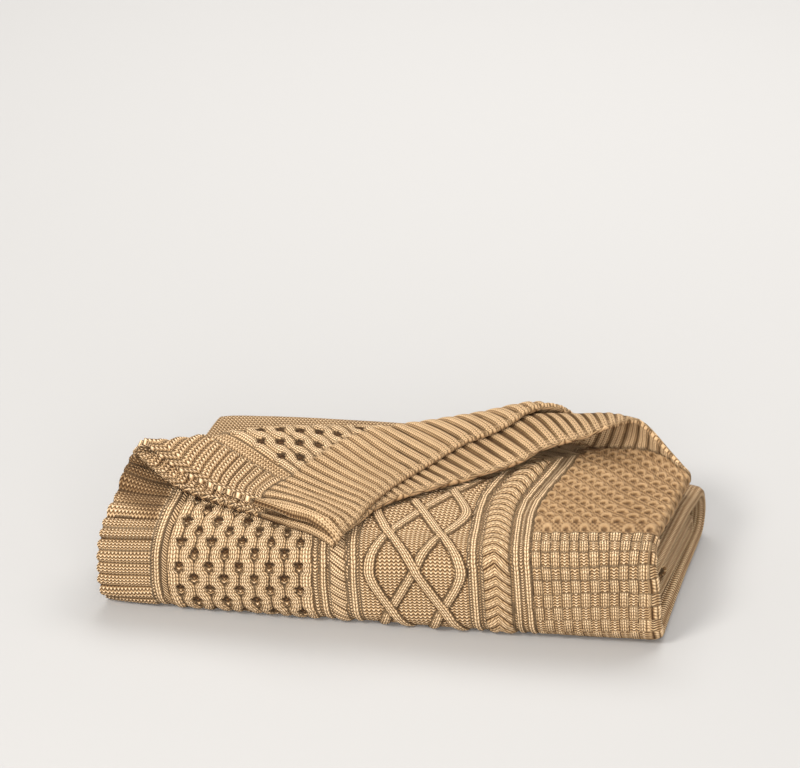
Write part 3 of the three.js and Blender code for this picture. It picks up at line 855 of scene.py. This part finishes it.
def wrong_rows():
    rows = []
    bend = np.abs(WRONG_COLUMNS - MIDDLE) < 9
    for v in WRONG_ROWS:
        lap = flat_place(WRONG_COLUMNS, np.full_like(WRONG_COLUMNS, v))[4]
        open_band = (v > 1434) & (lap > 40) & (WRONG_COLUMNS > 30) & (WRONG_COLUMNS < BACK_TO)
        open_side = (v > 1300) & (lap > 40) & (WRONG_COLUMNS < 66)
        gap = np.where((lap > -15) & (lap < 70), WRONG_ROLL_GAP, HIDDEN_GAP)
        rows.append((v, thinned(WRONG_COLUMNS, open_band | open_side | bend, gap)))
    return rows


def numbered(rows, first):
    """The rows as lines of (v, columns, point numbers), and the number after the last point."""
    lines = []
    for v, columns in rows:
        lines.append((v, columns, list(range(first, first + len(columns)))))
        first += len(columns)
    return lines, first


def rim_places(lines):
    """Places of the points half way down the edge: left side, end, right side and start."""
    edge_v = [line[0] for line in lines]
    rim = [(0.0, v) for v in edge_v]
    rim += [(u, LENGTH) for u in lines[-1][1][1:]]
    rim += [(WIDTH, v) for v in reversed(edge_v[:-1])]
    rim += [(u, 0.0) for u in lines[0][1][::-1][1:-1]]
    return rim


def join(a, b, faces):
    """Fills between two lines, each of places along it and point numbers, with triangles."""
    (ka, ia), (kb, ib) = a, b
    i = 0
    j = 0
    last_a = len(ia) - 1
    last_b = len(ib) - 1
    while i < last_a or j < last_b:
        if j == last_b or (i < last_a and ka[i + 1] + ka[i] <= kb[j + 1] + kb[j]):
            faces.append((ia[i], ia[i + 1], ib[j]))
            i += 1
        else:
            faces.append((ia[i], ib[j + 1], ib[j]))
            j += 1


def scallop(u, v):
    """How far the cloth reaches past its edges between two furrows, across and along."""
    w = np.minimum(u, WIDTH - u)
    near = u < MIDDLE
    before_corner = near & (v < CORNER_FROM)
    near_row = np.interp(v, KNITTED["v"], KNITTED["row"]) - WELT_LEVEL
    row = np.where(before_corner, near_row, v - CORNER_FROM)
    t = part(row / np.where(before_corner, WELT, CORNER_WELT))
    side = 2.9 * (1 - np.abs(2 * t - 1) ** 2.2) - 1.1
    side = side * np.clip(1 - w / 9, 0, 1) * (v < LENGTH - END_BAND) * (v > 1090)
    end = 1.0 * (1 - np.abs(2 * part(2 * w / RIB) - 1) ** 2.2) - 0.3
    end = end * np.clip(1 - (LENGTH - v) / 9, 0, 1) * near
    return side, end


RIGHT, WRONG, RIM = 0, 1, 2
RIM_OUT = 1.4


def raised_points(u, v, kind, knit, back):
    """Points of the mesh in metres, with each side's relief and the furrows of its edges."""
    ve, lap = flat_place(u, v)[3:]
    du, dv, out = directions(u, v)
    share = shown(u, v, ve, lap)
    lift = THICK / 2 + knit.high * share + uneven(u, v) * share * (knit.w > 0)
    back_share = ease((lap - 50) / 20) * np.where(u < MIDDLE, ease((BACK_TO - u) / 40), 0)
    lift = np.where(kind == WRONG, -(THICK / 2 + 0.75 * back.high * back_share), lift)
    lift = np.where(kind == RIM, 0, lift)

    side, end = scallop(u, v)
    nearly = 0.01
    on_rim = RIM_OUT * (kind == RIM)
    outward = np.where(u < MIDDLE, -1, 1)
    sideways = outward * (side + on_rim * ((u < nearly) | (u > WIDTH - nearly)))
    endways = end + on_rim * (v > LENGTH - nearly) - on_rim * (v < nearly)
    points = place(u, v) + out * lift[:, None] + du * sideways[:, None] + dv * endways[:, None]
    points[:, 2] = np.maximum(points[:, 2], 0)
    return (points - ORIGIN) / PER_METRE


def side_line(lines, end):
    """Places along one side of the cloth and its point numbers; end is 0 at the left, else -1."""
    return [line[0] for line in lines], [line[2][end] for line in lines]


def cover(lines, back_lines, rim, rim_from):
    """Triangles of both sides of the cloth and of the edges between them."""
    faces = []
    for low, high in zip(lines, lines[1:]):
        join(low[1:], high[1:], faces)
    for low, high in zip(back_lines, back_lines[1:]):
        join(high[1:], low[1:], faces)
    tall = len(lines)
    wide = len(lines[-1][1])
    numbers = list(range(rim_from, rim_from + len(rim)))
    edge_v = [line[0] for line in lines]
    left_rim = (edge_v, numbers[:tall])
    right_rim = (edge_v, numbers[tall + wide - 2 : 2 * tall + wide - 2][::-1])
    end_rim = (lines[-1][1], numbers[tall - 1 : tall - 1 + wide])
    start_numbers = (numbers[2 * tall + wide - 3 :] + numbers[:1])[::-1]
    start_rim = ([rim[i - rim_from][0] for i in start_numbers], start_numbers)
    join(side_line(lines, 0), left_rim, faces)
    join(left_rim, side_line(back_lines, 0), faces)
    join(right_rim, side_line(lines, -1), faces)
    join(side_line(back_lines, -1), right_rim, faces)
    join(lines[-1][1:], end_rim, faces)
    join(end_rim, back_lines[-1][1:], faces)
    join(start_rim, lines[0][1:], faces)
    join(back_lines[0][1:], start_rim, faces)
    return faces


def closed_mesh(points, faces):
    mesh = bpy.data.meshes.new("knit_throw_cloth")
    mesh.from_pydata(points.tolist(), [], faces)
    work = bmesh.new()
    work.from_mesh(mesh)
    bmesh.ops.recalc_face_normals(work, faces=work.faces)
    open_edges = sum(1 for e in work.edges if len(e.link_faces) != 2)
    work.to_mesh(mesh)
    work.free()
    mesh.shade_smooth()
    print("throw:", len(faces), "triangles,", open_edges, "open edges")
    return mesh


def write_vectors(mesh, name, *columns):
    """Three values at each point, for the yarn to read."""
    vectors = mesh.attributes.new(name, "FLOAT_VECTOR", "POINT")
    vectors.data.foreach_set("vector", np.stack(columns, -1).astype(np.float32).ravel())


def build_throw():
    lines, wrong_from = numbered(right_rows(), 0)
    back_lines, rim_from = numbered(wrong_rows(), wrong_from)
    rim = rim_places(lines)
    u = np.concatenate([line[1] for line in lines + back_lines] + [[spot[0] for spot in rim]])
    rows = [np.full(len(line[1]), line[0], float) for line in lines + back_lines]
    v = np.concatenate(rows + [[spot[1] for spot in rim]])
    kind = np.repeat([RIGHT, WRONG, RIM], [wrong_from, rim_from - wrong_from, len(rim)])
    knit = right_side(u, v)
    back = wrong_side(u, v)
    points = raised_points(u, v, kind, knit, back)
    mesh = closed_mesh(points, cover(lines, back_lines, rim, rim_from))

    wrong = kind == WRONG
    opened = np.where(wrong, back.open, knit.open)
    # painted shade on the rim, darkest between the ribs
    rim_open = 0.25 + 0.6 * (1 - np.abs(2 * part(u / RIB) - 1) ** 3)
    # hollow, 1 less open, sets how much painted shade the yarn's colour gets
    hollow = 1 - np.clip(np.where(kind == RIM, rim_open, opened), 0, 1)
    wale = np.where(wrong, back.wale, knit.wale)
    stitch = np.where(wrong, back.stitch, knit.stitch)
    write_vectors(mesh, "stitches", wale, stitch, np.where(wrong, back.purl, knit.purl))
    write_vectors(mesh, "creases", knit.crease, np.where(kind == RIGHT, knit.deep, 0), hollow)
    piece = bpy.data.objects.new("camel_knit_throw", mesh)
    bpy.context.scene.collection.objects.link(piece)
    return piece


# Colour of the yarn from its furrows to its crests, with painted shade toward the furrows and a painted
# highlight toward the crests; the two ends of the ramp come first
YARN_AND_PAINTED_SHADE = [
    (0.0, (0.04, 0.013, 0.003)),
    (1.0, (1.0, 0.735, 0.465)),
    (0.27, (0.22, 0.124, 0.054)),
    (0.58, (0.64, 0.424, 0.227)),
]

# How dark the painted shade in furrows, hollows and creases is, how deep a crease is, and the stitches'
# depth in metres
FURROW_TONE = 0.1
HOLLOW_DARK = 0.85
CREASE_DEEP = 0.85
CREASE_DARK = 0.6
YARN_RELIEF = 0.0022

# Scale and detail of the fuzz on the yarn, the uneven dye and the flecks
FUZZ, CLOUD, FLECK = (1500, 3), (22, 3), (260, 2)


def yarn():
    """Matte cotton, with its stitches worked out from where the mesh says each place lies."""
    material = bpy.data.materials.new("camel_cotton_yarn")
    material.use_nodes = True
    tree = material.node_tree
    tree.nodes.clear()
    links = tree.links

    def node(kind, **settings):
        made = tree.nodes.new(kind)
        for name, value in settings.items():
            setattr(made, name, value)
        return made

    def calc(operation, a, b=None, c=None, clamp=False):
        made = node("ShaderNodeMath", operation=operation, use_clamp=clamp)
        for i, value in enumerate((a, b, c)):
            if isinstance(value, (int, float)):
                made.inputs[i].default_value = value
            elif value is not None:
                links.new(value, made.inputs[i])
        return made.outputs[0]

    def blend(share, a, b):
        made = node("ShaderNodeMix", data_type="FLOAT")
        for i, value in ((0, share), (2, a), (3, b)):
            links.new(value, made.inputs[i])
        return made.outputs[0]

    def read_vectors(name):
        written = node("ShaderNodeAttribute", attribute_name=name)
        split = node("ShaderNodeSeparateXYZ")
        links.new(written.outputs["Vector"], split.inputs[0])
        return split.outputs[0], split.outputs[1], split.outputs[2]

    def noise(scale, detail):
        made = node("ShaderNodeTexNoise")
        made.inputs["Scale"].default_value = scale
        made.inputs["Detail"].default_value = detail
        links.new(where.outputs["Object"], made.inputs["Vector"])
        return made.outputs["Fac"]

    where = node("ShaderNodeTexCoord")
    phase, deep, hollow = read_vectors("creases")
    wale, stitch, purl = read_vectors("stitches")

    # plain stitch: two slanting legs in each wale
    across_wale = calc("ABSOLUTE", calc("SUBTRACT", calc("FRACT", wale), 0.5))
    leg = calc("MULTIPLY", calc("SUBTRACT", across_wale, 0.25), 4.0)
    leg = calc("SUBTRACT", 1.0, calc("MULTIPLY", leg, leg), clamp=True)
    beat = calc("FRACT", calc("SUBTRACT", stitch, across_wale))
    beat = calc("MULTIPLY", calc("SUBTRACT", beat, 0.5), 2.0)
    grain = calc("SUBTRACT", 1.0, calc("POWER", calc("ABSOLUTE", beat), 2.5), clamp=True)
    plain = calc("MULTIPLY", calc("POWER", leg, 0.8), calc("MULTIPLY_ADD", grain, 0.65, 0.35))

    # purl stitch: short bars, each bowed over the next
    bow = calc("COSINE", calc("MULTIPLY", wale, 2 * math.pi))
    level = calc("FRACT", calc("MULTIPLY_ADD", bow, 0.24, stitch))
    level = calc("MULTIPLY", calc("SUBTRACT", level, 0.5), 2.0)
    bar = calc("SUBTRACT", 1.0, calc("MULTIPLY", level, level), clamp=True)
    bump = calc("MULTIPLY_ADD", bow, 0.32, 0.72)
    bars = calc("MULTIPLY", calc("POWER", bar, 1.8), bump)

    # crease between two turns of a cable
    line = calc("MULTIPLY", calc("ABSOLUTE", calc("SUBTRACT", calc("FRACT", phase), 0.5)), 2.0)
    line = calc("MULTIPLY", calc("POWER", line, 7.0), deep, clamp=True)
    relief = calc("MULTIPLY", blend(purl, plain, bars), calc("MULTIPLY_ADD", line, -CREASE_DEEP, 1.0))

    bumped = node("ShaderNodeBump")
    bumped.inputs["Strength"].default_value = 1.0
    bumped.inputs["Distance"].default_value = YARN_RELIEF
    links.new(calc("MULTIPLY_ADD", noise(*FUZZ), 0.16, relief), bumped.inputs["Height"])

    # the colour follows the relief: painted shade between the stitches, painted highlight on their crests
    tone = calc("MULTIPLY_ADD", relief, 1.0 - FURROW_TONE, FURROW_TONE, clamp=True)
    # more painted shade in hollows and creases
    hollow_shade = calc("SUBTRACT", 1.0, calc("MULTIPLY", hollow, HOLLOW_DARK), clamp=True)
    tone = calc("MULTIPLY", tone, calc("MULTIPLY", hollow_shade, calc("MULTIPLY_ADD", line, -CREASE_DARK, 1.0)))
    tone = calc("ADD", tone, calc("MULTIPLY", calc("SUBTRACT", noise(*CLOUD), 0.5), 0.14))
    tone = calc("ADD", tone, calc("MULTIPLY", calc("SUBTRACT", noise(*FLECK), 0.5), 0.12), clamp=True)
    # the ramp turns tone into colour: painted shade toward the furrows, painted highlight toward the crests
    painted_shade_ramp = node("ShaderNodeValToRGB")
    ramp = painted_shade_ramp.color_ramp
    for i, (spot, colour) in enumerate(YARN_AND_PAINTED_SHADE):
        stop = ramp.elements[i] if i < 2 else ramp.elements.new(spot)
        stop.position = spot
        stop.color = (*colour, 1)
    links.new(tone, painted_shade_ramp.inputs[0])

    cloth = node("ShaderNodeBsdfPrincipled")
    cloth.inputs["Roughness"].default_value = 0.88
    cloth.inputs["Specular IOR Level"].default_value = 0.1
    cloth.inputs["Sheen Weight"].default_value = 0.04
    cloth.inputs["Sheen Roughness"].default_value = 0.5
    cloth.inputs["Sheen Tint"].default_value = (1.0, 0.86, 0.68, 1)
    links.new(painted_shade_ramp.outputs[0], cloth.inputs["Base Color"])
    links.new(bumped.outputs[0], cloth.inputs["Normal"])
    end = node("ShaderNodeOutputMaterial")
    links.new(cloth.outputs[0], end.inputs[0])
    return material


# Floor that sweeps up into the backdrop, in metres; it lies a hair under the ground
FLOOR_HALF, FLOOR_FRONT, FLOOR_BACK = 6.0, -4.0, 3.2
SWEEP, SWEEP_STEPS = 1.5, 12
BACKDROP_TOP = 5.0
UNDER_GROUND = 0.0002
PAPER = (0.449, 0.441, 0.431, 1)


def plain_floor():
    profile = [(FLOOR_FRONT, 0.0), (FLOOR_BACK, 0.0)]
    for i in range(1, SWEEP_STEPS + 1):
        a = math.radians(90 * i / SWEEP_STEPS)
        profile.append((FLOOR_BACK + SWEEP * math.sin(a), SWEEP - SWEEP * math.cos(a)))
    profile.append((FLOOR_BACK + SWEEP, BACKDROP_TOP))
    points = []
    for y, z in profile:
        points.append((-FLOOR_HALF, y, z - UNDER_GROUND))
        points.append((FLOOR_HALF, y, z - UNDER_GROUND))
    faces = [(2 * i, 2 * i + 1, 2 * i + 3, 2 * i + 2) for i in range(len(profile) - 1)]
    mesh = bpy.data.meshes.new("studio_floor")
    mesh.from_pydata(points, [], faces)
    mesh.shade_smooth()
    floor = bpy.data.objects.new("studio_floor", mesh)
    bpy.context.scene.collection.objects.link(floor)
    paper = bpy.data.materials.new("pale_paper")
    paper.use_nodes = True
    shader = paper.node_tree.nodes["Principled BSDF"]
    shader.inputs["Base Color"].default_value = PAPER
    shader.inputs["Roughness"].default_value = 0.85
    shader.inputs["Specular IOR Level"].default_value = 0.2
    mesh.materials.append(paper)
    return floor


def set_up(thing, right, up, back, where):
    """Puts a light or the camera in the scene; back points away from what it faces."""
    bpy.context.scene.collection.objects.link(thing)
    for i in range(3):
        thing.matrix_world[i][0] = right[i]
        thing.matrix_world[i][1] = up[i]
        thing.matrix_world[i][2] = back[i]
        thing.matrix_world[i][3] = where[i]


# Light of the room, and the places in metres that the lamps face
ROOM_COLOUR, ROOM_LIGHT = (1.0, 0.99, 0.98, 1), 0.54
PILE, BACKDROP_FOOT = (0, 0, 0.05), (0, 1.6, 0)


def light(name, where, aim, size, power, colour):
    data = bpy.data.lights.new(name, "AREA")
    data.shape = "RECTANGLE"
    data.size = size[0]
    data.size_y = size[1]
    data.energy = power
    data.color = colour
    back = np.array(where, float) - np.array(aim, float)
    back /= np.linalg.norm(back)
    side = np.cross((0, 0, 1), back)
    side /= np.linalg.norm(side)
    set_up(bpy.data.objects.new(name, data), side, np.cross(back, side), back, where)


def studio():
    """Soft light from the left front, a weak fill from the front, and a wash over the backdrop."""
    bpy.context.scene.view_settings.view_transform = "Standard"
    world = bpy.data.worlds.new("soft_room")
    bpy.context.scene.world = world
    world.use_nodes = True
    background = world.node_tree.nodes["Background"]
    background.inputs[0].default_value = ROOM_COLOUR
    background.inputs[1].default_value = ROOM_LIGHT
    light("key", (-2.2, -3.2, 3.5), PILE, (1.5, 1.3), 196, (1.0, 0.98, 0.95))
    light("fill", (0.6, -3.0, 1.1), PILE, (2.0, 1.2), 66, (1.0, 0.98, 0.96))
    light("back_wash", (0.2, 2.0, 3.0), BACKDROP_FOOT, (4.0, 2.0), 135, (1.0, 0.99, 0.98))


# The photo's view: turned to the right and raised, in degrees; how far off; the lens in pixels; and the
# pixel at which the spot AIM_HIGH over the zero of the tables above lies
AZIMUTH, ELEVATION = 8.8, 25.0
DISTANCE = 3140.0
LENS_PIXELS = 2750.0
PHOTO_WIDE, PHOTO_TALL = 800, 768
AIM_PIXEL = (402, 519)
AIM_HIGH = 50.0
SENSOR = 36


def camera():
    a = math.radians(AZIMUTH)
    e = math.radians(ELEVATION)
    right = np.array([math.cos(a), math.sin(a), 0])
    back = np.array([math.sin(a) * math.cos(e), -math.cos(a) * math.cos(e), math.sin(e)])
    up = np.cross(back, right)
    across_view = (AIM_PIXEL[0] - PHOTO_WIDE / 2) / LENS_PIXELS
    up_view = (PHOTO_TALL / 2 - AIM_PIXEL[1]) / LENS_PIXELS
    spot = np.array([0, 0, AIM_HIGH]) - (-back + across_view * right + up_view * up) * DISTANCE
    data = bpy.data.cameras.new("camera")
    data.sensor_width = SENSOR
    data.lens = LENS_PIXELS * SENSOR / PHOTO_WIDE
    data.clip_end = 50
    view = bpy.data.objects.new("camera", data)
    set_up(view, right, up, back, (spot - ORIGIN) / PER_METRE)
    bpy.context.scene.camera = view


throw = build_throw()
throw.data.materials.append(yarn())
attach(throw, "root")
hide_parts("knit_throw")
floor = plain_floor()
camera()
studio()
